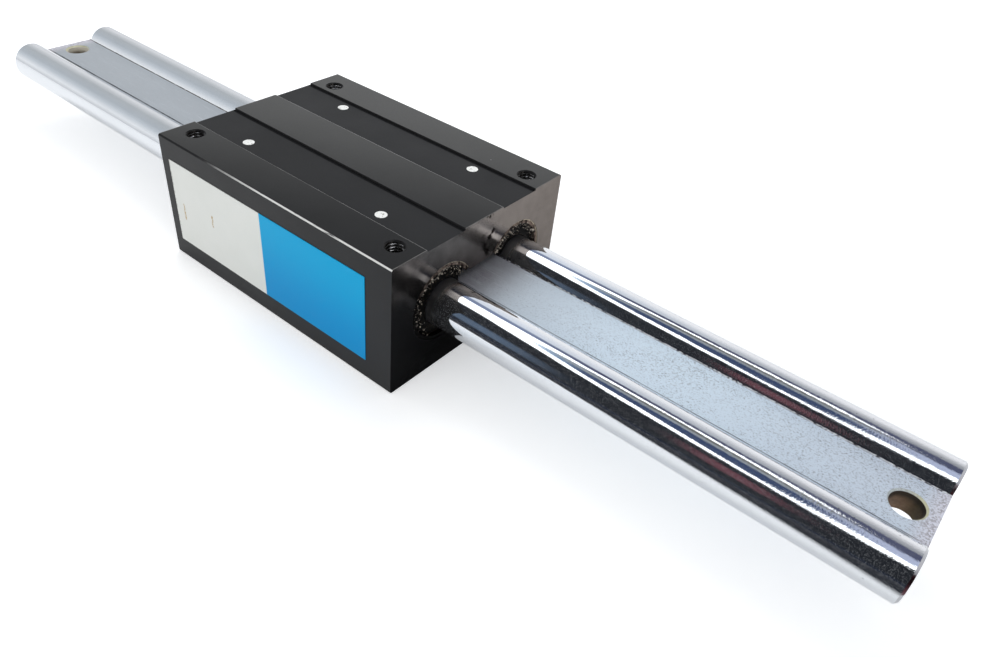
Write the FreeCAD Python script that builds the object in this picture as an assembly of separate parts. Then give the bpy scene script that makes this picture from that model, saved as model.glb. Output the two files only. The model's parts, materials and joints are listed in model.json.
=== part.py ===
import FreeCAD, Part
import math
import os
from FreeCAD import Vector

# A dual shaft linear rail: two hardened shafts joined by a flat web, and a carriage block that
# rides on them on four open ball bearings.
# Millimetres. X runs along the rail, +Y points away from the labelled side, +Z is up.
# The origin lies under the middle of the rail, in the plane of the carriage's underside.

# Rail
rail_length = 317.5
shaft_diameter = 12.7
shaft_spacing = 28.575
shaft_end_chamfer = 0.6
web_thickness = 5.56
web_seat_depth = 2.6
web_shoulder = 0.3
web_hole_diameter = 7.14
web_hole_count = 3
web_hole_end_margin = 6.35
web_hole_chamfer = 0.5

# Carriage block
carriage_length = 88.9
carriage_width = 65.8
carriage_height = 38.1
carriage_rest_x = -3.0
shaft_height = 19.55
block_edge_chamfer = 0.4
support_channel_width = 9.0
web_headroom = 2.37
top_channel_width = 13.6
top_channel_depth = 0.47
top_channel_edge_break = 0.15
top_hole_diameter = 4.826
top_hole_depth = 9.5
top_hole_chamfer = 0.3
top_hole_spacing_x = 76.2
top_hole_spacing_y = 50.8

# Open ball bearings
bearing_diameter = 22.225
bearing_length = 31.75
bearing_fit = 0.01
sleeve_lip_length = 0.9
sleeve_lip_overlap = 0.9
ball_diameter = 1.984
ball_running_clearance = 0.02
ball_seat_clearance = 0.01
ball_row_sides = 12
cage_shaft_clearance = 0.4
cage_sleeve_clearance = 0.08
cage_end_clearance = 0.1
track_clearance = 0.12
track_half_angle = 15.0
track_end_wall = 2.2
track_floor = 0.5
circuits_per_bearing = 3
opening_web_clearance = 0.8
support_pad_room = 2.1

# Bearing retention
seal_length = 2.9
seal_inset = 0.15
seal_rim_width = 1.1
seal_recess = 1.2
seal_shaft_clearance = 0.3
pin_diameter = 3.175
pin_offset = 3.13
pin_engagement = 1.3
pin_seat_clearance = 0.08

# Side label
label_length = 76.8
label_height = 25.7
label_thickness = 0.15
label_offset_x = -2.65
label_below_top = 6.3

# Sizes that follow from the ones above
shaft_radius = shaft_diameter / 2
shaft_y = shaft_spacing / 2
bore_radius = bearing_diameter / 2 + bearing_fit
sleeve_radius = bearing_diameter / 2
race_radius = shaft_radius + ball_running_clearance + ball_diameter + ball_seat_clearance
cage_inner_radius = shaft_radius + cage_shaft_clearance
cage_outer_radius = race_radius - cage_sleeve_clearance
ball_row_radius = shaft_radius + ball_running_clearance + ball_diameter / 2
web_half_width = shaft_y - shaft_radius + web_seat_depth
web_edge_half_thickness = web_thickness / 2 - web_shoulder
web_shoulder_y = shaft_y - math.sqrt(shaft_radius ** 2 - web_edge_half_thickness ** 2)
web_hole_spacing = (rail_length - 2 * web_hole_end_margin) / (web_hole_count - 1)
web_top = shaft_height + web_thickness / 2
web_bottom = shaft_height - web_thickness / 2
channel_ceiling = web_top + web_headroom
top_channel_floor = carriage_height - top_channel_depth
seal_end = carriage_length / 2 - seal_inset
bearing_outer_end = seal_end - seal_length
bearing_inner_end = bearing_outer_end - bearing_length
bearing_middle = (bearing_outer_end + bearing_inner_end) / 2
cage_start = bearing_inner_end + sleeve_lip_length + cage_end_clearance
cage_end = bearing_outer_end - cage_end_clearance
track_length = cage_end - cage_start - 2 * track_end_wall
row_length = track_length - 2 * ball_diameter

# The bearings are open towards the web. Angles are measured from the direction that points from
# the shaft to the web, rising, so the ring of each bearing runs from opening_top over the outside
# of the shaft to opening_bottom. Above, it stays clear of the web. Below, it leaves room for a pad
# under the whole width of the web, and stays behind the walls of the support channel.
opening_top = math.degrees(math.asin((web_thickness / 2 + opening_web_clearance) / cage_inner_radius))
pad_angle = math.degrees(math.atan((web_thickness / 2 + support_pad_room) / (shaft_y - web_shoulder_y)))
wall_reach = min(shaft_y - support_channel_width / 2, sleeve_radius)
wall_angle = math.degrees(math.acos(wall_reach / sleeve_radius))
opening_bottom = 360 - max(pad_angle, wall_angle)
circuit_angle = (opening_bottom - opening_top) / circuits_per_bearing

X_AXIS = Vector(1, 0, 0)
Y_AXIS = Vector(0, 1, 0)
Z_AXIS = Vector(0, 0, 1)
ORIGIN = Vector(0, 0, 0)
OVERRUN = 1.0
UPRIGHT = 90.0


def box_between(low, high):
    size = [b - a for a, b in zip(low, high)]
    return Part.makeBox(size[0], size[1], size[2], Vector(*low))


def polygon_face(points):
    return Part.Face(Part.makePolygon(points + points[:1]))


def turned(profile, axis_point, axis, from_angle=0.0, to_angle=360.0):
    """Revolve a flat profile about an axis, from one angle to another."""
    face = polygon_face(profile)
    face.rotate(axis_point, axis, from_angle)
    return face.revolve(axis_point, axis, to_angle - from_angle)


def bearing_ring(section):
    """A ring round the X axis, open towards the web. The section is a list of (x, radius) points."""
    points = [Vector(x, radius, 0) for x, radius in section]
    return turned(points, ORIGIN, X_AXIS, opening_top, opening_bottom)


def vertical_hole(x, y, levels):
    """A turned cutter on a vertical axis. The levels are (height, radius) points, bottom first."""
    section = [(levels[0][0], 0.0)] + levels + [(levels[-1][0], 0.0)]
    return turned([Vector(x + radius, y, z) for z, radius in section], Vector(x, y, 0), Z_AXIS)


def at_angle(shape, angle):
    turned_shape = shape.copy()
    turned_shape.rotate(ORIGIN, X_AXIS, angle)
    return turned_shape


def circuit_middles():
    """The middle angle of each ball circuit, evenly spread over the ring of a bearing."""
    return [opening_top + circuit_angle * (i + 0.5) for i in range(circuits_per_bearing)]


# Rail

def web_holes():
    first = web_hole_end_margin - rail_length / 2
    radius = web_hole_diameter / 2
    mouth = radius + web_hole_chamfer
    levels = [
        (web_bottom - OVERRUN, radius),
        (web_top - web_hole_chamfer, radius),
        (web_top, mouth),
        (web_top + OVERRUN, mouth),
    ]
    return [vertical_hole(first + i * web_hole_spacing, 0, levels) for i in range(web_hole_count)]


def rail_web():
    """The flat bar between the shafts. Its stepped edges sit in the slots of the shafts."""
    edge_low = shaft_height - web_edge_half_thickness
    edge_high = shaft_height + web_edge_half_thickness
    right = [
        (web_shoulder_y, web_bottom), (web_shoulder_y, edge_low), (web_half_width, edge_low),
        (web_half_width, edge_high), (web_shoulder_y, edge_high), (web_shoulder_y, web_top),
    ]
    left = [(-y, z) for y, z in reversed(right)]
    section = [Vector(-rail_length / 2, y, z) for y, z in right + left]
    bar = polygon_face(section).extrude(Vector(rail_length, 0, 0))
    return bar.cut(Part.makeCompound(web_holes()))


def front_shaft():
    """A round shaft with chamfered ends and a slot along its inner side for the web."""
    half = rail_length / 2
    chamfer = shaft_end_chamfer
    section = [
        (-half, 0), (-half, shaft_radius - chamfer), (-half + chamfer, shaft_radius),
        (half - chamfer, shaft_radius), (half, shaft_radius - chamfer), (half, 0),
    ]
    axis_point = Vector(0, -shaft_y, shaft_height)
    shaft = turned([axis_point + Vector(x, radius, 0) for x, radius in section], axis_point, X_AXIS)
    slot = box_between(
        (-half - OVERRUN, -web_half_width, shaft_height - web_edge_half_thickness),
        (half + OVERRUN, 0, shaft_height + web_edge_half_thickness),
    )
    return shaft.cut(slot)


# Carriage block, modelled about its own middle and moved to its place on the rail at the end

def block_outline():
    """The end view of the block without its bores: two legs, the support channel and the top."""
    side = carriage_width / 2
    chamfer = block_edge_chamfer
    channel = support_channel_width / 2
    channel_edge = shaft_y - shaft_radius
    top_far = shaft_y + top_channel_width / 2
    top_near = shaft_y - top_channel_width / 2
    edge = top_channel_edge_break
    outer = [
        (channel, 0), (side - chamfer, 0), (side, chamfer), (side, carriage_height - chamfer),
        (side - chamfer, carriage_height),
        (top_far + edge, carriage_height), (top_far, carriage_height - edge),
        (top_far, top_channel_floor), (top_near, top_channel_floor),
        (top_near, carriage_height - edge), (top_near - edge, carriage_height),
    ]
    inner = [(channel_edge, channel_ceiling), (channel_edge, shaft_height), (channel, shaft_height)]
    right = inner[1:] + outer
    left = [(-y, z) for y, z in reversed(right)]
    ceiling = [(-channel_edge, channel_ceiling), (channel_edge, channel_ceiling)]
    return right + left + ceiling


def front_bore():
    length = carriage_length + 2 * OVERRUN
    start = Vector(-length / 2, -shaft_y, shaft_height)
    return Part.makeCylinder(bore_radius, length, start, X_AXIS)


def tapped_hole_cutters():
    """The four blind holes of the mounting face, at the thread's outer diameter."""
    radius = top_hole_diameter / 2
    mouth = radius + top_hole_chamfer
    levels = [
        (carriage_height - top_hole_depth, radius), (carriage_height - top_hole_chamfer, radius),
        (carriage_height, mouth), (carriage_height + OVERRUN, mouth),
    ]
    places = [
        (x * top_hole_spacing_x / 2, y * top_hole_spacing_y / 2) for x in (-1, 1) for y in (-1, 1)
    ]
    return [vertical_hole(x, y, levels) for x, y in places]


def pin_tip():
    """The height of a retaining pin's lower end, inside the wall of the bearing sleeve."""
    return shaft_height + math.sqrt(bore_radius ** 2 - pin_offset ** 2) - pin_engagement


def pin_holes():
    places = [
        (x * bearing_middle, y * (shaft_y + pin_offset)) for x in (-1, 1) for y in (-1, 1)
    ]
    length = carriage_height - shaft_height
    return [Part.makeCylinder(pin_diameter / 2, length, Vector(x, y, shaft_height)) for x, y in places]


def carriage_body():
    half = carriage_length / 2
    outline = [Vector(-half, y, z) for y, z in block_outline()]
    block = polygon_face(outline).extrude(Vector(carriage_length, 0, 0))
    bores = [front_bore(), front_bore().mirror(ORIGIN, Y_AXIS)]
    cutters = bores + tapped_hole_cutters() + pin_holes()
    for cutter in cutters:
        block = block.cut(cutter)
    return block


def side_label():
    """A thin plate on the front side face."""
    face_y = -carriage_width / 2
    top = carriage_height - label_below_top
    return box_between(
        (label_offset_x - label_length / 2, face_y - label_thickness, top - label_height),
        (label_offset_x + label_length / 2, face_y, top),
    )


# One bearing with what holds it, about the X axis, at the right-hand end of the front shaft

def bearing_sleeve():
    """The hardened outer ring. Its inner end is turned in to a lip that stops the cage, and a
    flat-bottomed slot across its top takes the retaining pin."""
    lip_radius = race_radius - sleeve_lip_overlap
    lip_end = bearing_inner_end + sleeve_lip_length
    sleeve = bearing_ring([
        (bearing_inner_end, lip_radius), (lip_end, race_radius), (bearing_outer_end, race_radius),
        (bearing_outer_end, sleeve_radius), (bearing_inner_end, sleeve_radius),
    ])
    half_width = pin_diameter / 2 + pin_seat_clearance
    slot_floor = pin_tip() - shaft_height - pin_seat_clearance
    slot = box_between(
        (bearing_middle - half_width, -sleeve_radius, slot_floor),
        (bearing_middle + half_width, sleeve_radius, sleeve_radius),
    )
    return sleeve.cut(slot)


def bar_over_z(length, width, base, top, corner=0.0):
    """A straight bar along X, centred on the Z axis from one height to another. Its corners are
    cut at 45 degrees by the given amount."""
    x, y = length / 2, width / 2
    right = [(x - corner, -y), (x, corner - y), (x, y - corner), (x - corner, y)]
    left = [(-a, -b) for a, b in right]
    outline = right + left if corner else right[::3] + left[::3]
    return polygon_face([Vector(a, b, base) for a, b in outline]).extrude(Vector(0, 0, top - base))


def ball_track():
    """The closed loop of one ball circuit, open outwards, and the slot that lets its loaded row
    reach the shaft. Both are made over the Z direction."""
    width = ball_diameter + 2 * track_clearance
    half_pitch = ball_row_radius * math.sin(math.radians(track_half_angle))
    floor = cage_inner_radius + track_floor
    top = race_radius + OVERRUN
    loop = bar_over_z(track_length, 2 * half_pitch + width, floor, top, half_pitch)
    island = bar_over_z(track_length - 2 * width, 2 * half_pitch - width, floor, top)
    slot = bar_over_z(row_length + 2 * track_clearance, width, 0, top)
    slot.rotate(ORIGIN, X_AXIS, -track_half_angle)
    return loop.cut(island), slot


def ball_cage():
    """The ring that guides the balls between the shaft and the sleeve."""
    cage = bearing_ring([
        (cage_start, cage_inner_radius), (cage_end, cage_inner_radius),
        (cage_end, cage_outer_radius), (cage_start, cage_outer_radius),
    ])
    to_middle = Vector((cage_start + cage_end) / 2, 0, 0)
    for middle in circuit_middles():
        for cutter in ball_track():
            placed = at_angle(cutter, middle - UPRIGHT)
            placed.translate(to_middle)
            cage = cage.cut(placed)
    return cage


def load_ball_rows():
    """The loaded row of each circuit, as one many-sided bar as thick as the balls. One of its
    flats faces the shaft and the opposite one the sleeve."""
    start = cage_start + track_end_wall + ball_diameter
    corner_radius = ball_diameter / 2 / math.cos(math.pi / ball_row_sides)
    corner_angles = [math.tau * (i + 0.5) / ball_row_sides for i in range(ball_row_sides)]
    section = [
        Vector(start, ball_row_radius + corner_radius * math.cos(angle), corner_radius * math.sin(angle))
        for angle in corner_angles
    ]
    row = polygon_face(section).extrude(Vector(row_length, 0, 0))
    return Part.makeCompound([at_angle(row, middle - track_half_angle) for middle in circuit_middles()])


def end_seal():
    """The wiper in its rim, pressed into the bore against the end of the bearing."""
    lip_radius = shaft_radius + seal_shaft_clearance
    rim_radius = sleeve_radius - seal_rim_width
    wiper_end = seal_end - seal_recess
    return bearing_ring([
        (bearing_outer_end, lip_radius), (wiper_end, lip_radius), (wiper_end, rim_radius),
        (seal_end, rim_radius), (seal_end, sleeve_radius), (bearing_outer_end, sleeve_radius),
    ])


def retaining_pin():
    """The pin that runs from the floor of the top channel into the bearing's wall."""
    base = pin_tip() - shaft_height
    length = top_channel_floor - pin_tip()
    return Part.makeCylinder(pin_diameter / 2, length, Vector(bearing_middle, -pin_offset, base))


def placed(shape, side, end):
    """Put a piece of the front right bearing at one of the four places."""
    piece = shape.copy()
    piece.translate(Vector(0, -shaft_y, shaft_height))
    if side == "rear":
        piece = piece.mirror(ORIGIN, Y_AXIS)
    if end == "left":
        piece = piece.mirror(ORIGIN, X_AXIS)
    return on_rail(piece)


def on_rail(piece):
    moved = piece.copy()
    moved.translate(Vector(carriage_rest_x, 0, 0))
    return moved


def all_parts():
    shaft = front_shaft()
    parts = {
        "rail_web": rail_web(),
        "shaft_front": shaft,
        "shaft_rear": shaft.mirror(ORIGIN, Y_AXIS),
        "carriage_body": on_rail(carriage_body()),
        "side_label": on_rail(side_label()),
    }
    bearing_pieces = {
        "bearing_sleeve": bearing_sleeve(),
        "ball_cage": ball_cage(),
        "load_ball_rows": load_ball_rows(),
        "end_seal": end_seal(),
        "retaining_pin": retaining_pin(),
    }
    for name, shape in bearing_pieces.items():
        for side in ("front", "rear"):
            for end in ("left", "right"):
                parts[f"{name}_{side}_{end}"] = placed(shape, side, end)
    return parts


os.makedirs("parts", exist_ok=True)
for node, shape in all_parts().items():
    shape.exportStep(f"parts/{node}.step")
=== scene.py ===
import json
import math
import random

import bmesh
import bpy
from mathutils import Matrix, Vector


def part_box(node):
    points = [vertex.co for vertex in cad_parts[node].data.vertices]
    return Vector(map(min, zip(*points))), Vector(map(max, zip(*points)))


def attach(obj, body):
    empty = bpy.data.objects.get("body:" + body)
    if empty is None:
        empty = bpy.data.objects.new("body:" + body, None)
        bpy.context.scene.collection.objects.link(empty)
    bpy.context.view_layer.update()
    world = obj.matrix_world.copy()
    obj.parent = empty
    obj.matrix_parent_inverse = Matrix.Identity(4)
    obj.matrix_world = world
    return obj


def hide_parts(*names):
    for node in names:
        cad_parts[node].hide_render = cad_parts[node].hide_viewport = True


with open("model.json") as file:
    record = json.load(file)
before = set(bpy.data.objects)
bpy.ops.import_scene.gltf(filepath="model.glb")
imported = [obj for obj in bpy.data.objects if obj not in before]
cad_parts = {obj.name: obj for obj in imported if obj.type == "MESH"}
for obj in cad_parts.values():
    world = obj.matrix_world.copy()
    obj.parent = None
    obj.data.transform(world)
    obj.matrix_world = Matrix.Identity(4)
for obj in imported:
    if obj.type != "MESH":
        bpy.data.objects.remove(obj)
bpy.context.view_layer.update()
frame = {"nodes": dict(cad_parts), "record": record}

# A dual shaft linear rail with its carriage. The CAD nodes keep their shapes and get their
# finishes here. Threads, balls, wipers, grease and the burrs of the web are pieces made here.
# Metres, in the frame of the CAD model. Finishes work in millimetres of the same frame.

MM = 0.001

# Places and sizes read from the frame
carriage_low, carriage_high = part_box("carriage_body")
shaft_low, shaft_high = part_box("shaft_front")
web_low, web_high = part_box("rail_web")
label_low, label_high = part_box("side_label")
mounts = {mount["name"]: mount for mount in frame["record"]["mounts"]}
shaft_radius = (shaft_high.z - shaft_low.z) / 2
shaft_height = (shaft_high.z + shaft_low.z) / 2
shaft_y = -(shaft_low.y + shaft_radius)
web_contact_y = shaft_y - math.sqrt(shaft_radius ** 2 - (web_high.z - shaft_height) ** 2)
carriage_x = (carriage_low.x + carriage_high.x) / 2
carriage_top = carriage_high.z
top_holes = mounts["carriage_top_holes"]["dims"]
rail_holes = mounts["rail_end_holes"]["dims"]
end_hole_x = rail_holes["spacing_x_mm"] * MM / 2

# Sizes of the details made here, to match the CAD model
channel_half_width = 6.8 * MM
bore_radius = 11.12 * MM
seal_rim_width = 1.1 * MM
ring_start, ring_end = math.radians(32.1), math.radians(320)
thread_pitch = 25.4 * MM / 32
thread_depth = 0.4 * MM
ball_diameter = 1.984 * MM
ball_clearance = 0.02 * MM

# How many grains of grease lie at each seal, and the two numbers of the beta distribution that
# sets how they spread from the ring's start to its end
grease_at = {
    "front_left": (120, (1.8, 4.2)),
    "front_right": (250, (1.8, 4.2)),
    "rear_left": (120, (0.8, 3.0)),
    "rear_right": (330, (0.8, 3.0)),
}


# Shader graphs

def srgb(red, green, blue):
    """A colour given as 0 to 255 screen values, as the linear colour that a shader takes."""
    linear = []
    for value in (red, green, blue):
        share = value / 255
        linear.append(share / 12.92 if share <= 0.04045 else ((share + 0.055) / 1.055) ** 2.4)
    return (*linear, 1.0)


class Graph:
    """A node tree, with short calls for the nodes that the finishes need. An input is named by
    its label or its number, and takes a value or the output of another node."""

    def __init__(self, tree):
        self.tree = tree

    def set(self, node, inputs):
        """Give a node's inputs their values or links."""
        for name, value in inputs.items():
            socket = node.inputs[name]
            if isinstance(value, bpy.types.NodeSocket):
                self.tree.links.new(value, socket)
            else:
                socket.default_value = value

    def node(self, kind, inputs, **settings):
        """A new node of a kind, with its inputs and settings."""
        made = self.tree.nodes.new("ShaderNode" + kind)
        for name, value in settings.items():
            setattr(made, name, value)
        self.set(made, inputs)
        return made

    def math(self, operation, first, second=0.0):
        return self.node("Math", {0: first, 1: second}, operation=operation).outputs[0]

    def add(self, first, second):
        return self.math("ADD", first, second)

    def minus(self, first, second):
        return self.math("SUBTRACT", first, second)

    def unsigned(self, value):
        return self.math("ABSOLUTE", value)

    def both(self, first, second):
        return self.math("MULTIPLY", first, second)

    def either(self, first, second):
        return self.math("MAXIMUM", first, second)

    def step(self, value, start, end):
        """0 before start and 1 after end, smooth between them. It falls where end is lower."""
        inputs = {"Value": value, "From Min": start, "From Max": end}
        return self.node("MapRange", inputs, interpolation_type="SMOOTHSTEP").outputs["Result"]

    def band(self, value, low, high, soft):
        """1 from low to high, fading to 0 over a soft edge outside them."""
        return self.both(self.step(value, low - soft, low), self.step(value, high + soft, high))

    def mix(self, share, first, second):
        """Between two colours."""
        return self.node("Mix", {0: share, 6: first, 7: second}, data_type="RGBA").outputs[2]

    def blend(self, share, first, second):
        """Between two numbers."""
        return self.node("Mix", {0: share, 2: first, 3: second}).outputs[0]

    def ramp(self, value, stops):
        """A colour for each value, from stops of a value and its colour, smooth between them."""
        made = self.node("ValToRGB", {0: value})
        elements = made.color_ramp.elements
        while len(elements) < len(stops):
            elements.new(1.0)
        for element, (position, colour) in zip(elements, stops):
            element.position = position
            element.color = srgb(*colour)
        return made.outputs["Color"]


class Finish(Graph):
    """A material with a Principled surface. Its place is in millimetres of the frame."""

    def __init__(self, name, **surface):
        self.material = bpy.data.materials.new(name)
        self.material.use_nodes = True
        super().__init__(self.material.node_tree)
        self.surface = self.tree.nodes["Principled BSDF"]
        coordinates = self.node("TexCoord", {})
        metres = coordinates.outputs["Object"]
        scaled = self.node("VectorMath", {0: metres, "Scale": 1 / MM}, operation="SCALE")
        self.place = scaled.outputs[0]
        self.x, self.y, self.z = self.node("SeparateXYZ", {0: self.place}).outputs
        self.facing = self.node("SeparateXYZ", {0: coordinates.outputs["Normal"]}).outputs
        self.paint(**surface)

    def paint(self, **surface):
        """Set the surface. A name's words are joined by underscores."""
        self.set(self.surface, {name.replace("_", " "): value for name, value in surface.items()})

    def noise(self, size, detail, stretch=(1, 1, 1), roughness=0.5):
        """Noise with grains of about a size in millimetres, drawn out along each axis by stretch."""
        factors = Vector([1 / amount for amount in stretch])
        place = self.node("VectorMath", {0: self.place, 1: factors}, operation="MULTIPLY").outputs[0]
        inputs = {"Vector": place, "Scale": 1 / size, "Detail": detail, "Roughness": roughness}
        return self.node("TexNoise", inputs).outputs["Fac"]

    def wander(self, size, detail, amount):
        """Noise that strays from 0, by up to half an amount either way."""
        return self.both(self.minus(self.noise(size, detail), 0.5), amount)

    def specks(self, spacing, radius, share):
        """Sparse round specks of a radius, about a spacing apart, in a share of the places."""
        cells = self.node("TexVoronoi", {"Vector": self.place, "Scale": 1 / spacing})
        near = self.step(cells.outputs["Distance"], radius / spacing, 0.5 * radius / spacing)
        chance = self.node("SeparateColor", {0: cells.outputs["Color"]}).outputs[0]
        return self.both(near, self.step(chance, 1 - share, 1 - share + 0.01))

    def from_line(self, first, first_at, second, second_at):
        """The distance from a straight line, from the two coordinates across it and where the
        line lies in each."""
        across = self.minus(first, first_at)
        over = self.minus(second, second_at)
        return self.math("SQRT", self.add(self.both(across, across), self.both(over, over)))

    def bump(self, height, distance):
        """Raise the surface by height times a distance in millimetres."""
        made = self.node("Bump", {"Height": height, "Distance": distance * MM, "Strength": 1.0})
        self.set(self.surface, {"Normal": made.outputs["Normal"]})


# Finishes

def on_lands(made):
    """1 on the three lands at the top of the carriage."""
    top = carriage_top / MM
    return made.step(made.z, top - 0.12, top - 0.02)


def shade_by_steps(made):
    """1 on the floors of the top channels, close to the steps that face the front, where a painted
    shade lies.
    """
    top = carriage_top / MM
    channel = shaft_y / MM
    half = channel_half_width / MM
    reach, soft = 0.8, 0.4
    floor = made.step(made.z, top - 0.3, top - 0.4)
    by_rear_step = made.band(made.y, channel + half - reach, channel + half, soft)
    by_front_step = made.band(made.y, half - channel - reach, half - channel, soft)
    return made.both(floor, made.either(by_rear_step, by_front_step))


def rear_step_highlights(made):
    """1 on thin lines along the edges of the steps that face the rear, where a painted highlight lies.
    """
    channel = shaft_y / MM
    half = channel_half_width / MM
    width, soft = 0.2, 0.06
    front_painted_line = made.band(made.y, -channel - half - width, -channel - half, soft)
    rear_line = made.band(made.y, channel - half - width, channel - half, soft)
    return made.either(front_painted_line, rear_line)


def worn_chamfer_highlights(made, along):
    """1 where the long top edges are rubbed bare and carry a painted highlight, which is most of the
    way to the right end.
    """
    top = carriage_top / MM
    half_width = carriage_high.y / MM
    outer = made.step(made.unsigned(made.y), half_width - 0.36, half_width - 0.28)
    chamfer = made.both(outer, made.band(made.facing[2], 0.4, 0.85, 0.1))
    worn_and_lit_along = made.step(made.add(along, made.wander(6, 3, 14)), -30, 2)
    bare = made.both(worn_and_lit_along, made.step(made.noise(1.2, 2, (6, 1, 1)), 0.3, 0.42))
    return made.both(made.both(chamfer, bare), made.step(made.z, top - 2, top - 1))


def end_face_reflection(made):
    """The end faces' metal with a painted reflection: dark low down at the front and bright high up at
    the rear.
    """
    lift = made.add(made.both(made.z, 0.8), made.both(made.y, 0.5))
    reflecting = made.step(made.add(lift, made.wander(5, 3, 12)), 3, 30)
    metal = made.mix(made.noise(2.5, 3), srgb(130, 123, 119), srgb(152, 145, 140))
    return made.mix(reflecting, srgb(48, 48, 49), metal)


def oiled_mouths(made, end, from_bore):
    """1 on the chamfers round the mouths of the bores, which oil keeps black."""
    mouth = 12.4
    slanted = made.step(made.unsigned(made.facing[0]), 0.3, 0.5)
    near = made.both(slanted, made.step(from_bore, mouth, mouth - 0.2))
    return made.minus(near, made.both(near, end))


def oil_between_bores(made, end):
    """Blotches of oil on the end faces above the web."""
    place = made.both(made.band(made.y, 1, 4, 2), made.step(made.z, 24, 27))
    blotches = made.both(made.both(end, place), made.step(made.noise(2.4, 2), 0.5, 0.6))
    return made.both(blotches, 0.85)


def black_anodised():
    """Satin black, with a painted sheen that makes the lands paler than the channels, a lighter
    painted copy on the side faces, long top edges rubbed bare with a painted highlight, painted
    highlights along the step edges, painted shade along the steps that face the front, and end
    faces with a painted reflection that shines high up at the rear."""
    made = Finish("black_anodised", IOR=1.3)
    along = made.minus(made.x, carriage_x / MM)
    fine = made.noise(0.35, 3)
    cloud = made.noise(14, 3)
    upwards = made.step(made.facing[2], 0.8, 0.95)
    sideways = made.step(made.unsigned(made.facing[1]), 0.8, 0.95)
    end = made.step(made.unsigned(made.facing[0]), 0.8, 0.95)
    land = on_lands(made)

    black = made.mix(fine, srgb(13, 13, 14), srgb(23, 23, 24))
    # Painted light: the side faces get a lighter copy of the same black.
    lit_side_black = made.mix(fine, srgb(32, 32, 33), srgb(40, 40, 41))
    colour = made.mix(sideways, black, lit_side_black)
    # A painted sheen makes the lands paler, most towards the rear and the left.
    painted_sheen = made.step(made.minus(made.y, made.both(along, 0.5)), -45, 41)
    sheened_land = made.mix(painted_sheen, srgb(16, 16, 16), srgb(84, 84, 83))
    grainy_land = made.mix(made.both(fine, 0.3), sheened_land, srgb(16, 16, 16))
    colour = made.mix(made.both(land, upwards), colour, grainy_land)
    # Painted shade, almost black, on the channel floors beside the steps that face the front.
    step_shade = made.both(upwards, shade_by_steps(made))
    colour = made.mix(step_shade, colour, srgb(2, 2, 3))

    # Painted highlights, broken up by noise, along the step edges that face the rear and along the top
    # edges at the ends.
    highlight_breakup = made.blend(made.step(made.noise(3, 4, (4, 1, 1)), 0.38, 0.55), 0.55, 1.0)
    step_highlight = made.both(made.both(land, rear_step_highlights(made)), highlight_breakup)
    colour = made.mix(step_highlight, colour, srgb(158, 158, 157))
    # The long top chamfers, rubbed bare and painted pale as a highlight that grows towards the right
    # end.
    colour = made.mix(worn_chamfer_highlights(made, along), colour, srgb(212, 212, 210))

    from_bore = made.from_line(made.unsigned(made.y), shaft_y / MM, made.z, shaft_height / MM)
    oiled = oiled_mouths(made, end, from_bore)
    # The end faces take the painted reflection, dark low at the front and bright high at the rear.
    colour = made.mix(end, colour, end_face_reflection(made))
    colour = made.mix(oiled, colour, srgb(3, 3, 3))
    colour = made.mix(oil_between_bores(made, end), colour, srgb(14, 13, 15))

    # A painted highlight along the top edges at the ends of the carriage.
    half_length = (carriage_high.x - carriage_low.x) / 2 / MM
    near_end = made.step(made.unsigned(along), half_length - 0.25, half_length - 0.1)
    end_edge_highlight = made.both(made.both(near_end, land), highlight_breakup)
    colour = made.mix(end_edge_highlight, colour, srgb(112, 110, 108))
    nicks = made.both(made.specks(8, 0.15, 0.3), made.step(made.facing[2], -0.5, -0.2))
    colour = made.mix(nicks, colour, srgb(190, 190, 188))

    smudge = made.blend(cloud, 0.34, 0.5)
    beside_bore = made.both(end, made.step(from_bore, 18, 14))
    machined = made.blend(beside_bore, made.blend(cloud, 0.16, 0.26), made.blend(cloud, 0.07, 0.14))
    made.paint(
        Base_Color=colour,
        Metallic=made.both(end, 0.9),
        Specular_Tint=made.mix(made.either(end, oiled), srgb(255, 255, 255), srgb(90, 90, 90)),
        Roughness=made.blend(end, made.blend(step_shade, smudge, 0.8), machined),
    )
    made.bump(made.add(fine, made.both(cloud, 2.0)), 0.006)
    return made


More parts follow.
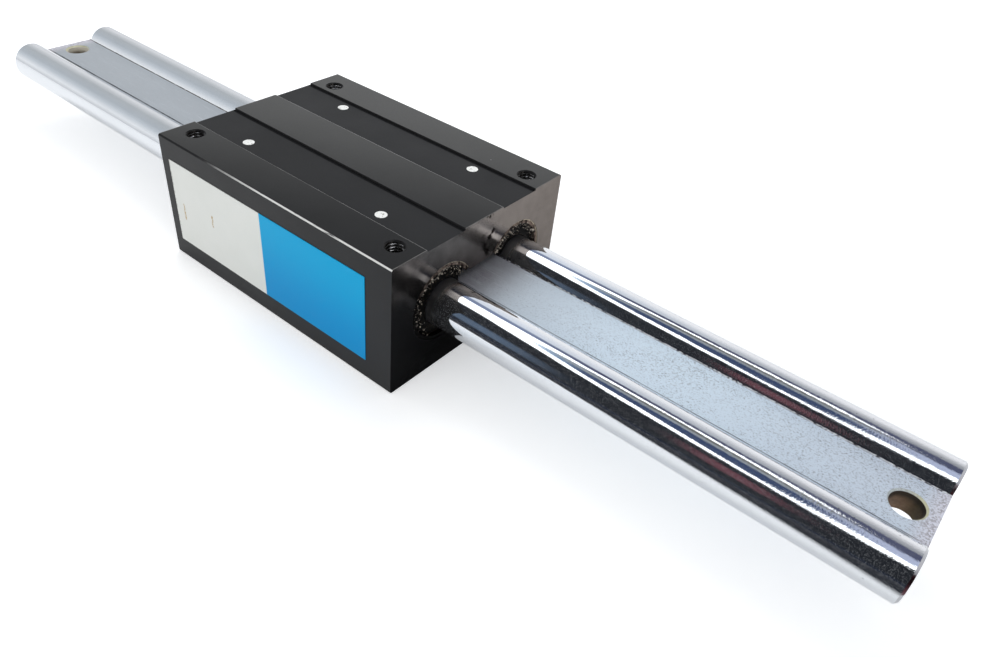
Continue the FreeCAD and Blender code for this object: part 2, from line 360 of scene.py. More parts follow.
def ground_chrome():
    """Polished shafts with fine marks along them and a little dust, pits and dark specks that grow
    towards the right end, a film of oil beside the carriage's right end, and grey end chamfers
    with a painted reddish dark reflection at the front."""
    made = Finish("ground_chrome")
    patches = made.noise(9, 2)
    marks = made.specks(7, 0.18, 0.35)
    rusted = made.both(made.specks(1.6, 0.17, 0.3), made.step(made.x, 100, 140))
    block_end = carriage_high.x / MM
    oil = made.step(made.x, block_end + 5.55, block_end + 1.05)
    oil = made.both(oil, made.step(made.x, block_end - 1.45, block_end - 0.45))
    colour = made.mix(patches, srgb(230, 233, 237), srgb(238, 241, 245))
    colour = made.mix(marks, colour, srgb(120, 116, 112))
    colour = made.mix(made.both(rusted, 0.75), colour, srgb(72, 70, 84))
    colour = made.mix(made.both(oil, 0.7), colour, srgb(84, 80, 86))

    end = made.step(made.unsigned(made.facing[0]), 0.3, 0.5)
    colour = made.mix(made.both(end, 0.6), colour, srgb(146, 146, 152))
    # Painted reflection: the front chamfers are tinted reddish dark, like the dark band reflected
    # beside them.
    frontwards = made.step(made.facing[1], -0.1, -0.4)
    dark_band_reflection = made.both(frontwards, made.band(made.facing[2], 0.08, 0.5, 0.06))
    patchy = made.both(dark_band_reflection, made.blend(made.step(made.noise(1.5, 2), 0.3, 0.5), 0.7, 1.0))
    colour = made.mix(made.both(end, patchy), colour, srgb(80, 42, 50))

    polish = made.blend(oil, made.blend(patches, 0.03, 0.07), 0.3)
    dusty = made.blend(made.step(made.noise(0.3, 3), 0.48, 0.66), 0.01, 0.08)
    made.paint(
        Base_Color=colour,
        Metallic=made.minus(1.0, dusty),
        Roughness=made.blend(end, polish, 0.16),
    )
    lines = made.noise(0.4, 3, (18, 1, 1))
    pitted = made.step(made.x, 50, 150)
    pits = made.both(made.noise(0.4, 4), made.blend(pitted, 0.15, 3.0))
    made.bump(made.add(lines, pits), 0.006)
    return made


def web_plating(made, cloud, right):
    """The web's colour: plain on the left, paler and bluish on the right, greyer near its end."""
    greyed = made.mix(made.step(made.x, 100, 150), srgb(229, 244, 255), srgb(212, 219, 231))
    pale = made.mix(cloud, srgb(212, 227, 241), greyed)
    plain = made.mix(cloud, srgb(172, 178, 184), srgb(188, 194, 200))
    return made.mix(right, plain, pale)


def web_specks(made, cloud):
    """Fine specks drawn out along the rail, with streaks of them in some places."""
    patchy = made.both(cloud, 0.16)
    specks = made.step(made.add(made.noise(0.2, 4, (2.2, 1, 1), 0.7), patchy), 0.61, 0.73)
    streaks = made.step(made.noise(0.35, 4, (4, 1, 1), 0.65), 0.64, 0.74)
    return made.either(specks, made.both(streaks, made.step(made.noise(7, 2), 0.45, 0.6)))


def web_contact_lines(made, colour):
    """Dark lines where the web meets the shafts, broken in places and brown at the rear left. The front
    line is a painted contact shade.
    """
    contact = web_contact_y / MM
    line_end = made.blend(made.step(made.x, 40, -60), 0.8, 1.15)
    front_painted_line = made.step(made.minus(made.y, line_end), -contact + 0.1, -contact)
    rear_line = made.band(made.y, contact - 0.25, contact + 1, 0.12)
    broken = made.blend(made.step(made.noise(1.2, 3, (3, 1, 1)), 0.35, 0.6), 0.65, 1.0)
    # Painted shade in the crease along the front shaft.
    colour = made.mix(made.both(front_painted_line, broken), colour, srgb(44, 48, 58))
    brown_line = made.mix(made.step(made.x, -30, 30), srgb(96, 82, 60), srgb(62, 58, 62))
    return made.mix(made.both(rear_line, broken), colour, brown_line)


def web_holes(made, colour, grain):
    """Brassy rings round the end holes, and brown walls inside them, painted light near the rim in the
    left hole and painted shade near the rim in the right hole.
    """
    top = web_high.z / MM
    radius = rail_holes["hole_r_mm"]
    outwards = made.minus(made.unsigned(made.x), end_hole_x / MM)
    from_axis = made.from_line(outwards, 0.0, made.y, 0.0)
    outer_side = made.step(outwards, -2.0, 2.5)
    ring = made.band(from_axis, radius + 0.1, radius + 0.4, 0.1)
    ring = made.both(ring, made.blend(outer_side, 0.25, 0.85))
    colour = made.mix(ring, colour, made.mix(grain, srgb(196, 192, 138), srgb(224, 222, 190)))

    stains = made.noise(1.4, 3)
    brown = made.mix(stains, srgb(92, 68, 50), srgb(160, 130, 104))
    dark_brown = made.mix(stains, srgb(52, 40, 22), srgb(98, 82, 48))
    wall = made.mix(outer_side, brown, dark_brown)
    # Near the rim the wall is painted light in the left hole and painted shade in the right hole.
    near_rim = made.step(made.add(made.z, made.noise(1.2, 3)), top - 2.4, top - 0.6)
    rim_light_and_shade = made.mix(made.step(made.x, -10, 10), srgb(244, 240, 226), srgb(26, 21, 13))
    wall = made.mix(made.both(near_rim, 0.85), wall, rim_light_and_shade)
    under_edge = made.step(made.z, top - 0.25, top - 0.45)
    in_hole = made.both(made.step(from_axis, radius + 0.1, radius + 0.03), under_edge)
    return made.mix(in_hole, colour, wall)


def plated_web():
    """Pale plated steel with dark specks drawn out along the rail, a mottled painted shade beside the
    carriage, dark lines along the shafts, sawn ends and drilled holes whose walls keep a brassy tint."""
    made = Finish("plated_web")
    grain = made.noise(0.5, 4, (5, 1, 1))
    cloud = made.noise(22, 3, (2, 1, 1))
    right = made.step(made.x, 30, 90)
    colour = web_plating(made, cloud, right)
    # A mottled painted shade on the web beside the carriage's right end, fading away from it.
    block_end = carriage_high.x / MM
    fading = made.step(made.x, block_end + 16.55, block_end - 0.45)
    fading = made.both(fading, made.step(made.x, 0, 1))
    carriage_shade = made.both(fading, made.blend(made.noise(4, 4, (2, 1, 1)), 0.3, 0.85))
    colour = made.mix(carriage_shade, colour, srgb(122, 112, 120))

    speckled = web_specks(made, cloud)
    patches = made.blend(made.step(made.noise(6, 3, (2.5, 1, 1)), 0.4, 0.56), 0.5, 1.0)
    patches = made.either(patches, made.step(made.x, 90, 120))
    dotted = made.both(made.both(speckled, patches), made.blend(right, 0.2, 0.85))
    colour = made.mix(made.either(dotted, made.both(speckled, carriage_shade)), colour, srgb(92, 98, 108))
    scratched = made.step(made.noise(0.2, 3, (40, 1, 1)), 0.6, 0.72)
    colour = made.mix(made.both(scratched, 0.3), colour, srgb(232, 238, 244))
    colour = web_contact_lines(made, colour)

    web_end = web_high.x / MM
    end = made.step(made.unsigned(made.x), web_end - 5.5, web_end - 0.2)
    sawn = made.both(made.both(end, made.step(made.noise(0.45, 4), 0.46, 0.62)), 0.6)
    colour = made.mix(made.both(end, 0.6), colour, srgb(242, 238, 248))
    colour = made.mix(sawn, colour, srgb(124, 114, 120))
    made.paint(
        Base_Color=web_holes(made, colour, grain),
        Metallic=0.35,
        Roughness=made.blend(right, 0.46, made.blend(grain, 0.42, 0.6)),
    )
    rough = made.blend(end, made.blend(right, 0.3, 1.0), 3.0)
    made.bump(made.both(made.minus(grain, made.both(speckled, 0.5)), rough), 0.02)
    return made


def rubbed_stain(made, x, z, half_height):
    """A thin upright stain on the label, wavering a little and patchy."""
    sway = made.wander(1.5, 2, 0.9)
    across = made.unsigned(made.minus(made.add(made.x, sway), x))
    upright = made.band(made.z, z - half_height, z + half_height, 0.5)
    spot = made.both(made.step(across, 0.42, 0.14), upright)
    return made.both(spot, made.step(made.noise(0.6, 2), 0.3, 0.55))


def label_film():
    """A film in two plain fields, a little aged, with two rubbed stains and a worn left edge."""
    made = Finish("label_film", Roughness=0.34, IOR=1.3, Specular_Tint=srgb(120, 120, 120))
    middle = (label_low.x + label_high.x) / 2 / MM
    white = made.mix(made.noise(9, 3), srgb(212, 214, 209), srgb(220, 221, 217))
    blue = made.mix(made.step(made.z, 8, 31), srgb(0, 138, 198), srgb(6, 158, 208))
    left_stain = rubbed_stain(made, x=-40.3, z=16.7, half_height=2.3)
    right_stain = rubbed_stain(made, x=-27.0, z=19.5, half_height=1.6)
    stains = made.either(left_stain, right_stain)
    white = made.mix(stains, white, srgb(176, 150, 108))
    colour = made.mix(made.step(made.x, middle - 0.06, middle + 0.06), white, blue)
    left_edge = made.step(made.x, middle - 37.7, middle - 38.3)
    worn = made.both(left_edge, made.step(made.noise(0.9, 3), 0.45, 0.6))
    colour = made.mix(made.both(worn, 0.5), colour, srgb(150, 146, 138))
    made.paint(Base_Color=colour)
    made.bump(made.noise(4, 3), 0.008)
    return made


def pin_nylon():
    """White pins with a scuffed head."""
    made = Finish("pin_nylon", Roughness=0.42)
    scuffs = made.step(made.noise(0.55, 3), 0.6, 0.68)
    made.paint(Base_Color=made.mix(scuffs, srgb(246, 247, 245), srgb(176, 176, 170)))
    made.bump(made.noise(0.6, 3), 0.03)
    return made


def seal_with_rim():
    """A metal rim, worn beige and bright along the top and black with oil low down, round a dark
    oily wiper."""
    made = Finish("seal_with_rim", IOR=1.35, Specular_IOR_Level=0.3, Specular_Tint=srgb(96, 96, 96))
    across = made.unsigned(made.y)
    radius = made.from_line(across, shaft_y / MM, made.z, shaft_height / MM)
    outer = bore_radius / MM
    inner = outer - seal_rim_width / MM
    rim = made.step(radius, inner - 0.06, inner + 0.02)
    dirt = made.step(made.noise(1.6, 4), 0.4, 0.62)
    metal = made.mix(dirt, srgb(140, 124, 114), srgb(50, 42, 38))
    patchy = made.step(made.noise(1.8, 3), 0.34, 0.5)
    bright = made.both(made.step(radius, outer - 0.3, outer - 0.18), patchy)
    metal = made.mix(bright, metal, srgb(204, 194, 172))
    wiped = made.add(made.both(made.noise(2.5, 3), 4.0), made.both(made.y, 0.2))
    low = made.step(made.add(made.z, wiped), shaft_height / MM + 7, shaft_height / MM + 2)
    metal = made.mix(low, metal, srgb(5, 4, 4))
    oily = made.mix(made.noise(1.1, 4), srgb(4, 3, 3), srgb(26, 20, 16))
    made.paint(
        Base_Color=made.mix(rim, oily, metal),
        Metallic=made.both(rim, 0.7),
        Roughness=made.blend(rim, 0.5, 0.42),
    )
    made.bump(made.noise(0.5, 4), 0.08)
    return made


def wiper_rubber():
    """Black rubber dulled by oil and dust."""
    made = Finish("wiper_rubber", IOR=1.25, Specular_IOR_Level=0.15)
    dust = made.step(made.noise(0.5, 3), 0.6, 0.68)
    rubber = made.mix(made.noise(0.8, 4), srgb(3, 3, 3), srgb(10, 9, 8))
    made.paint(Base_Color=made.mix(made.both(dust, 0.6), rubber, srgb(92, 80, 68)), Roughness=0.55)
    made.bump(made.noise(0.4, 4), 0.1)
    return made


def grease_and_dust():
    """Dark grease that has caught pale dust and fibres."""
    made = Finish("grease_and_dust", Roughness=0.3)
    dust = made.step(made.noise(0.6, 2), 0.52, 0.58)
    grease = made.mix(made.noise(1.3, 3), srgb(8, 6, 6), srgb(50, 40, 32))
    pale_dust = made.mix(made.noise(0.3, 2), srgb(150, 132, 112), srgb(240, 232, 218))
    made.paint(Base_Color=made.mix(dust, grease, pale_dust))
    made.bump(made.noise(0.3, 3), 0.1)
    return made


def thread_black():
    """Black threads, rubbed to bare metal in places."""
    made = Finish("thread_black", IOR=1.5)
    bare = made.step(made.noise(1.6, 3), 0.5, 0.62)
    black = made.mix(made.noise(0.5, 3), srgb(12, 12, 12), srgb(38, 37, 36))
    made.paint(
        Base_Color=made.mix(bare, black, srgb(182, 182, 184)),
        Metallic=made.both(bare, 0.8),
        Roughness=made.blend(made.noise(0.8, 2), 0.16, 0.34),
    )
    made.bump(made.noise(0.25, 2), 0.01)
    return made


def burr_steel():
    """A ragged burr, bright where it is torn and dark between."""
    made = Finish("burr_steel", Metallic=0.5, Roughness=0.5)
    bright = made.both(made.step(made.y, -1, 1), made.step(made.x, 30, 90))
    chance = made.add(made.noise(0.5, 4, (2, 1, 1)), made.blend(bright, -0.1, 0.06))
    torn = made.step(chance, 0.46, 0.56)
    made.paint(Base_Color=made.mix(torn, srgb(52, 50, 56), srgb(222, 225, 230)))
    made.bump(made.noise(0.3, 3), 0.05)
    return made


def bearing_steel():
    """Ground steel with fine turning marks round the shaft."""
    made = Finish("bearing_steel", Metallic=1.0)
    turned = made.noise(0.2, 3, (1, 20, 20))
    made.paint(Base_Color=made.mix(turned, srgb(150, 150, 152), srgb(182, 182, 184)), Roughness=0.3)
    made.bump(turned, 0.004)
    return made


def cage_nylon():
    """Black moulded plastic."""
    made = Finish("cage_nylon", Roughness=0.48)
    made.paint(Base_Color=made.mix(made.noise(2, 3), srgb(22, 22, 22), srgb(40, 39, 38)))
    made.bump(made.noise(0.4, 3), 0.01)
    return made


def ball_steel():
    """Polished balls, a little dulled in places."""
    made = Finish("ball_steel", Metallic=1.0)
    made.paint(Base_Color=srgb(214, 214, 216), Roughness=made.blend(made.noise(0.7, 2), 0.05, 0.14))
    return made


# Pieces

def give(finish, *starts):
    """Put a finish on the CAD nodes whose names start so."""
    for name, node in frame["nodes"].items():
        if name.startswith(starts):
            for slot in node.material_slots:
                slot.material = finish.material


def piece(name, mesh, finish, body):
    """A new piece from a bmesh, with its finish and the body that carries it."""
    data = bpy.data.meshes.new(name)
    bmesh.ops.recalc_face_normals(mesh, faces=mesh.faces)
    mesh.to_mesh(data)
    mesh.free()
    data.materials.append(finish.material)
    made = bpy.data.objects.new(name, data)
    bpy.context.scene.collection.objects.link(made)
    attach(made, body)
    return made


def smooth(mesh):
    """Shade the faces as one curved surface."""
    for face in mesh.faces:
        face.smooth = True


def tube(mesh, sections):
    """Join sections, each a ring of as many points as the others, by faces."""
    made = [[mesh.verts.new(point) for point in section] for section in sections]
    count = len(made[0])
    for first, second in zip(made, made[1:]):
        for i in range(count):
            j = (i + 1) % count
            mesh.faces.new((first[i], first[j], second[j], second[i]))


def screw_thread(x, y, index):
    """The helical ridge of a tapped hole, from just under its chamfer to near its bottom."""
    mesh = bmesh.new()
    into_wall = 0.05 * MM
    below_chamfer = 0.75 * MM
    root = top_holes["hole_r_mm"] * MM + into_wall
    crest = root - thread_depth
    turns = 10
    steps_per_turn = 28
    crest_half = thread_pitch / 16
    root_half = thread_pitch * 0.44
    start = carriage_top - below_chamfer
    sections = []
    for i in range(turns * steps_per_turn + 1):
        angle = math.tau * i / steps_per_turn
        fade = min(1.0, i / steps_per_turn, (turns * steps_per_turn - i) / steps_per_turn)
        reach = root + (crest - root) * fade
        middle = start - thread_pitch * i / steps_per_turn
        outline = ((root, root_half), (reach, crest_half), (reach, -crest_half), (root, -root_half))
        sections.append([
            Vector((x + r * math.cos(angle), y + r * math.sin(angle), middle + h)) for r, h in outline
        ])
    tube(mesh, sections)
    smooth(mesh)
    piece(f"top_hole_thread_{index}", mesh, thread, "carriage")


def around_shaft(side, x, radius, angle):
    """A point at a radius from a shaft's axis. The angle is from the web upwards, in radians."""
    y = side * (shaft_y - radius * math.cos(angle))
    return Vector((x, y, shaft_height + radius * math.sin(angle)))


def end_face(end):
    """Where the carriage ends, on the right for 1 and on the left for -1."""
    return carriage_high.x if end > 0 else carriage_low.x


def wiper(side, end, name):
    """The rubber lip that leans out from the seal towards the shaft."""
    mesh = bmesh.new()
    sunk = 1.35 * MM
    face = end_face(end) - end * sunk
    # Radius from the shaft's axis and reach outwards from the lip's root, in millimetres
    outline = (
        (9.95, 0.0), (9.3, 0.25), (8.3, 0.3), (7.6, 0.42), (7.0, 0.8), (6.62, 1.05),
        (6.5, 1.0), (6.6, 0.7), (7.0, 0.3), (7.4, 0.0),
    )
    steps = 72
    sections = []
    for i in range(steps + 1):
        angle = ring_start + (ring_end - ring_start) * i / steps
        sections.append([
            around_shaft(side, face + end * out * MM, r * MM, angle) for r, out in outline
        ])
    tube(mesh, sections)
    smooth(mesh)
    piece(f"wiper_{name}", mesh, rubber, "carriage")


def crumb(mesh, place, size, rng):
    """A lumpy grain: a small ball with its points pulled in and out."""
    stretch = Matrix.Diagonal([size * rng.uniform(0.5, 1.3) for _ in range(3)]).to_4x4()
    turn = Matrix.Rotation(rng.uniform(0, math.tau), 4, Vector((rng.gauss(0, 1), rng.gauss(0, 1), 1)))
    grain = bmesh.ops.create_icosphere(mesh, subdivisions=1, radius=1.0)["verts"]
    for vertex in grain:
        vertex.co = place + turn @ (stretch @ (vertex.co * rng.uniform(0.6, 1.25)))


def strand(mesh, path, radius):
    """A thin three-sided fibre along a path."""
    sides = 3
    corners = [math.tau * corner / sides for corner in range(sides)]
    sections = []
    for i, point in enumerate(path):
        ahead = path[min(i + 1, len(path) - 1)] - path[max(i - 1, 0)]
        across = ahead.orthogonal().normalized()
        over = ahead.cross(across).normalized()
        sections.append([
            point + radius * (across * math.cos(angle) + over * math.sin(angle)) for angle in corners
        ])
    tube(mesh, sections)


def wandering(side, face, end, start_angle, rng):
    """The path of a fibre that wanders in the recess of a seal."""
    angle = start_angle
    radius = rng.uniform(7.6, 9.4)
    depth = rng.uniform(0.4, 0.9)
    turn = rng.uniform(-0.08, 0.08)
    rise = rng.uniform(-0.45, 0.45)
    points = 7
    path = []
    for _ in range(points):
        path.append(around_shaft(side, face - end * depth * MM, radius * MM, angle))
        turn += rng.gauss(0, 0.03)
        rise += rng.gauss(0, 0.12)
        angle = min(max(angle + turn, ring_start), ring_end)
        radius = min(max(radius + rise, 7.2), 9.8)
        depth = min(max(depth + rng.gauss(0, 0.12), 0.25), 1.1)
    return path


def crumbs(side, end, name, seed):
    """Grease, dust and fibres gathered round the rim of a seal."""
    count, spread = grease_at[name]
    grain_sizes = (0.1, 0.13, 0.17, 0.22, 0.3, 0.4)
    farthest_in = 2.6
    rng = random.Random(seed)
    mesh = bmesh.new()
    inner = bore_radius - seal_rim_width
    face = end_face(end)
    for _ in range(count):
        angle = ring_start + (ring_end - ring_start) * rng.betavariate(*spread)
        radius = inner - min(abs(rng.gauss(0, 0.9)), farthest_in) * MM + 0.15 * MM
        depth = 0.15 + 0.9 * rng.random()
        place = around_shaft(side, face - end * depth * MM, radius, angle)
        crumb(mesh, place, rng.choice(grain_sizes) * MM, rng)
    for _ in range(count // 5):
        angle = ring_start + (ring_end - ring_start) * rng.betavariate(*spread)
        radius = inner + rng.uniform(0.1, 1.0) * MM
        place = around_shaft(side, face - end * 0.16 * MM, radius, angle)
        crumb(mesh, place, rng.uniform(0.06, 0.13) * MM, rng)
    for _ in range(count // 10):
        start = ring_start + (ring_end - ring_start) * rng.betavariate(*spread)
        strand(mesh, wandering(side, face, end, start, rng), rng.uniform(0.04, 0.08) * MM)
    piece(f"grease_{name}", mesh, grease, "carriage")


def loaded_balls(side, name):
    """The balls of the three loaded rows, in place of the bars that stand in for them."""
    mesh = bmesh.new()
    low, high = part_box(f"load_ball_rows_{name}")
    count = int((high.x - low.x) / ball_diameter)
    first = (low.x + high.x - (count - 1) * ball_diameter) / 2
    radius = shaft_radius + ball_clearance + ball_diameter / 2
    rows = 3
    row_angle = (ring_end - ring_start) / rows
    row_shift = math.radians(15)
    for row in range(rows):
        angle = ring_start + row_angle * (row + 0.5) - row_shift
        for i in range(count):
            place = around_shaft(side, first + i * ball_diameter, radius, angle)
            matrix = Matrix.Translation(place)
            bmesh.ops.create_uvsphere(
                mesh, u_segments=12, v_segments=8, radius=ball_diameter / 2, matrix=matrix,
            )
    smooth(mesh)
    made = piece(f"balls_{name}", mesh, balls, "carriage")
    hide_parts(f"load_ball_rows_{name}")


def growth(x):
    """How much wider the rear burr is at a place along the rail: twice as wide at its right end."""
    start, length = 50 * MM, 50 * MM
    return 1 + min(max((x - start) / length, 0), 1)


def burr(side, seed):
    """A thin ragged bead where the web's top meets a shaft."""
    rng = random.Random(seed)
    mesh = bmesh.new()
    steps = 1000
    least_width, more_width, least_height = 0.08, 0.2, 0.05
    sections = []
    for i in range(steps + 1):
        x = web_low.x + (web_high.x - web_low.x) * i / steps
        swell = 0.5 + 0.5 * math.sin(0.9 * i / 7) * math.sin(i / 31)
        width = least_width + more_width * rng.random() * swell
        width *= growth(x) if side > 0 else 1
        height = least_height + 0.5 * width * rng.random()
        outer = web_contact_y + 0.04 * MM
        inner = web_contact_y - width * MM
        sections.append([
            Vector((x, side * outer, web_high.z - 0.05 * MM)),
            Vector((x, side * outer, web_high.z + height * MM)),
            Vector((x, side * (outer + inner) / 2, web_high.z + 0.6 * height * MM)),
            Vector((x, side * inner, web_high.z - 0.03 * MM)),
        ])
    tube(mesh, sections)
    piece(f"web_burr_{'front' if side < 0 else 'rear'}", mesh, burrs, "rail")


# Floor, light and camera

def floor():
    """A white floor that keeps the shadow. Polished metal sees it end a little way in front."""
    width = 8.0
    bpy.ops.mesh.primitive_plane_add(size=width)
    plane = bpy.context.object
    plane.name = "floor"
    made = Finish("floor_white", Roughness=0.9)
    rays = made.node("LightPath", {}).outputs
    before = made.minus(made.y, made.both(made.x, 0.45))
    beside = made.minus(made.x, made.both(made.y, 0.75))
    front_from, front_to = -103, -136
    side_from, side_to = -60, 0
    in_front = made.both(made.step(before, front_from, front_to), made.step(beside, side_from, side_to))
    dim = made.both(rays["Is Glossy Ray"], in_front)
    camera_lift, glossy_lift = 0.4, 0.12
    to_camera = made.both(rays["Is Camera Ray"], camera_lift)
    lift = made.either(to_camera, made.both(rays["Is Glossy Ray"], glossy_lift))
    made.paint(
        Base_Color=made.mix(dim, srgb(245, 246, 247), srgb(16, 20, 31)),
        Emission_Color=(1, 1, 1, 1),
        Emission_Strength=made.both(lift, made.minus(1.0, dim)),
    )
    plane.data.materials.append(made.material)


def room_front(sky, slope, angle):
    """The dark front of the room, with a grey thing and a red thing in it."""
    dark = sky.mix(sky.step(angle, 14, -8), srgb(27, 30, 36), srgb(38, 46, 64))
    grey_thing = sky.both(sky.band(angle, 18, 32, 9), sky.step(slope, -0.34, -0.5))
    colour = sky.mix(grey_thing, dark, srgb(86, 102, 122))
    red_thing = sky.both(sky.band(angle, 29, 40, 9), sky.band(slope, -0.16, -0.1, 0.05))
    return sky.mix(red_thing, colour, srgb(108, 68, 76))


def lens_shape(sky, slope, angle):
    """1 in the dark lens in the middle of the lamp. It hangs lower towards its right."""
    middle_slope, middle_angle = -0.2, 90.5
    left_length, right_length, half_height = 0.24, 0.34, 18.5
    tilt_start, tilt_per_slope = -0.27, 20
    past_start = sky.either(sky.minus(slope, tilt_start), 0.0)
    tilt = sky.both(past_start, sky.step(slope, 0.0, -0.08))
    tilt = sky.both(tilt, tilt_per_slope)
    above_middle = sky.add(sky.minus(angle, middle_angle), tilt)
    up = sky.math("DIVIDE", above_middle, sky.add(tilt, half_height))
    from_middle = sky.minus(slope, middle_slope)
    left_part = sky.both(from_middle, -1 / left_length)
    right_part = sky.both(from_middle, 1 / right_length)
    along = sky.either(left_part, right_part)
    return sky.step(sky.add(sky.both(up, up), sky.both(along, along)), 1.1, 0.8)


def lens_glass(sky, slope, angle):
    """Blue glass below and pale or olive glass above, paler towards the left."""
    pale_glass = sky.mix(sky.step(slope, -0.38, -0.42), srgb(150, 156, 162), srgb(160, 184, 208))
    blue_glass = sky.mix(sky.step(slope, -0.34, -0.42), srgb(54, 70, 104), srgb(150, 176, 204))
    glass = sky.mix(sky.step(angle, 88, 94), blue_glass, pale_glass)
    olive = sky.both(sky.step(angle, 97, 101), sky.step(slope, -0.36, -0.3))
    return sky.mix(olive, glass, srgb(108, 108, 102))


def room_back(sky, slope, angle, rightwards):
    """The pale back wall above a dark gap."""
    gap_left = sky.mix(sky.step(slope, -0.46, -0.3), srgb(128, 140, 168), srgb(60, 62, 92))
    gap = sky.mix(rightwards, gap_left, srgb(78, 82, 108))
    wall = sky.mix(rightwards, srgb(226, 232, 242), srgb(158, 160, 165))
    high_wall = sky.mix(rightwards, srgb(253, 253, 254), srgb(248, 247, 249))
    wall = sky.mix(sky.step(angle, 128, 166), wall, high_wall)
    return sky.mix(sky.step(angle, 121, 128), gap, wall)


def room(sky, slope, angle):
    """The room as the right part of the rail sees it. The lamp is wider in angle at its middle
    than at its ends, and its right end is a lavender pane."""
    middle_slope = -0.13
    low_middle, low_end, low_bend = 60, 78, 120
    high_middle, high_end, high_bend = 114, 108, 40
    pane_drop = 13
    rightwards = sky.step(slope, -0.5, 0.05)
    from_middle = sky.minus(slope, middle_slope)
    squared = sky.both(from_middle, from_middle)
    lamp_low = sky.math("MINIMUM", sky.add(sky.both(squared, low_bend), low_middle), low_end)
    lamp_high = sky.math("MAXIMUM", sky.minus(high_middle, sky.both(squared, high_bend)), high_end)
    in_pane = sky.both(sky.step(slope, -0.05, 0.02), sky.step(slope, 0.3, 0.24))
    lamp_high = sky.minus(lamp_high, sky.both(in_pane, pane_drop))

    above_low = sky.step(sky.minus(angle, lamp_low), -2, 2)
    above_high = sky.step(sky.minus(angle, lamp_high), -2, 2)
    lamp_white = (2.2, 2.24, 2.26, 1.0)
    colour = sky.mix(above_low, room_front(sky, slope, angle), lamp_white)
    colour = sky.mix(lens_shape(sky, slope, angle), colour, lens_glass(sky, slope, angle))
    right_pane = sky.both(sky.band(slope, 0.0, 0.24, 0.012), sky.step(angle, 76, 80))
    colour = sky.mix(right_pane, colour, srgb(184, 192, 218))
    return sky.mix(above_high, colour, room_back(sky, slope, angle, rightwards))


def surroundings():
    """White to the camera and a soft even sky to the surfaces. Polished metal sees a room: a dark
    front, a long white lamp overhead with a dark lens in its middle and a lavender pane at its
    right end, a dark gap behind it and a pale back wall. Towards the left the room is pale all
    round. A direction is told by its slope along the rail and by its angle round the rail, from
    0 degrees at the front over 90 above to 180 at the back."""
    world = bpy.data.worlds.new("surroundings")
    bpy.context.scene.world = world
    world.use_nodes = True
    world.node_tree.nodes.clear()
    sky = Graph(world.node_tree)
    direction = sky.node("TexCoord", {}).outputs["Generated"]
    x, y, z = sky.node("SeparateXYZ", {0: direction}).outputs
    turn = sky.math("ARCTAN2", z, sky.both(y, -1.0))
    angle = sky.both(turn, 180 / math.pi)
    across = sky.math("SQRT", sky.add(sky.both(y, y), sky.both(z, z)))
    slope = sky.math("DIVIDE", x, across)

    pale = [
        (0, (214, 216, 220)), (20, (242, 244, 246)), (50, (204, 210, 216)), (72, (184, 190, 196)),
        (112, (184, 188, 191)), (155, (228, 229, 231)), (180, (218, 220, 223)),
    ]
    half_turns = sky.both(turn, 1 / math.pi)
    pale_room = sky.ramp(half_turns, [(degrees / 180, tint) for degrees, tint in pale])
    colour = sky.mix(sky.step(slope, -0.66, -1.04), room(sky, slope, angle), pale_room)

    rays = sky.node("LightPath", {}).outputs
    soft_sky = (0.62, 0.63, 0.64, 1.0)
    lit = sky.mix(rays["Is Glossy Ray"], soft_sky, colour)
    seen = sky.mix(rays["Is Camera Ray"], lit, (1.0, 1.0, 1.0, 1.0))
    background = sky.node("Background", {"Color": seen})
    sky.node("OutputWorld", {"Surface": background.outputs[0]})


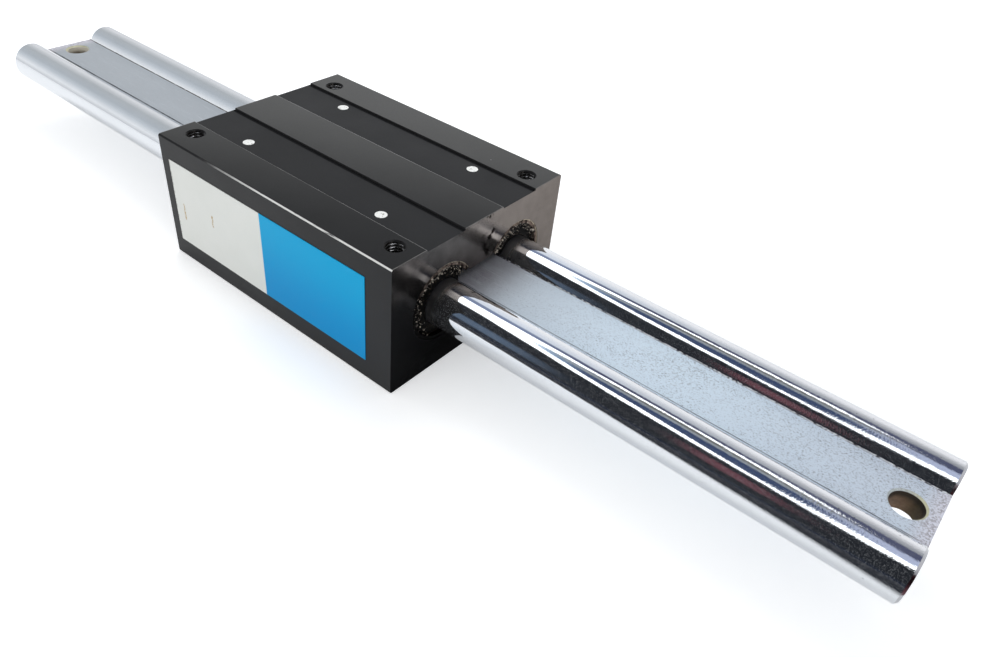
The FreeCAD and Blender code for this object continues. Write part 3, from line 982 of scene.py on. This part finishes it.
def lamp(name, place, size, watts):
    """A square soft lamp aimed at the object. Polished metal sees the room instead of it."""
    data = bpy.data.lights.new(name, "AREA")
    data.size = size
    data.energy = watts
    made = bpy.data.objects.new(name, data)
    bpy.context.scene.collection.objects.link(made)
    made.location = place
    made.rotation_mode = "QUATERNION"
    made.rotation_quaternion = (-Vector(place)).to_track_quat("-Z", "Y")
    made.visible_glossy = False


def camera():
    """The photograph's camera, found by fitting the CAD model's edges and holes to the picture."""
    image_width, image_height = 1000, 658
    focal_length_px = 805.08
    centre_px = (482.57, 336.05)
    data = bpy.data.cameras.new("camera")
    data.sensor_width = 36.0
    data.lens = data.sensor_width * focal_length_px / image_width
    data.shift_x = (image_width / 2 - centre_px[0]) / image_width
    data.shift_y = (centre_px[1] - image_height / 2) / image_width
    data.clip_start = 0.01
    made = bpy.data.objects.new("camera", data)
    bpy.context.scene.collection.objects.link(made)
    place = (0.14429, -0.13888, 0.14274)
    turns = (50.29, -4.74, 39.63)
    made.location = place
    made.rotation_euler = [math.radians(angle) for angle in turns]
    bpy.context.scene.camera = made


# The finishes on the CAD nodes
give(black_anodised(), "carriage_body")
give(ground_chrome(), "shaft_")
give(plated_web(), "rail_web")
give(label_film(), "side_label")
give(pin_nylon(), "retaining_pin")
give(seal_with_rim(), "end_seal")
give(bearing_steel(), "bearing_sleeve")
give(cage_nylon(), "ball_cage")

# The pieces made here
thread = thread_black()
rubber = wiper_rubber()
grease = grease_and_dust()
balls = ball_steel()
burrs = burr_steel()
corners = [(x_sign, y_sign) for x_sign in (-1, 1) for y_sign in (-1, 1)]
for index, (x_sign, y_sign) in enumerate(corners, start=1):
    hole_x = carriage_x + x_sign * top_holes["spacing_x_mm"] / 2 * MM
    hole_y = y_sign * top_holes["spacing_y_mm"] / 2 * MM
    screw_thread(hole_x, hole_y, index)
for side, side_name in ((-1, "front"), (1, "rear")):
    burr(side, 20 + side)
    for end, end_name in ((-1, "left"), (1, "right")):
        name = f"{side_name}_{end_name}"
        wiper(side, end, name)
        loaded_balls(side, name)
        crumbs(side, end, name, seed=40 + 2 * side + end)

floor()
surroundings()
lamp("softbox", place=(-0.3, 0.35, 0.7), size=0.5, watts=2.4)
lamp("front_fill", place=(0.05, -0.9, 0.35), size=0.7, watts=3.0)
camera()
bpy.context.scene.view_settings.view_transform = "Standard"
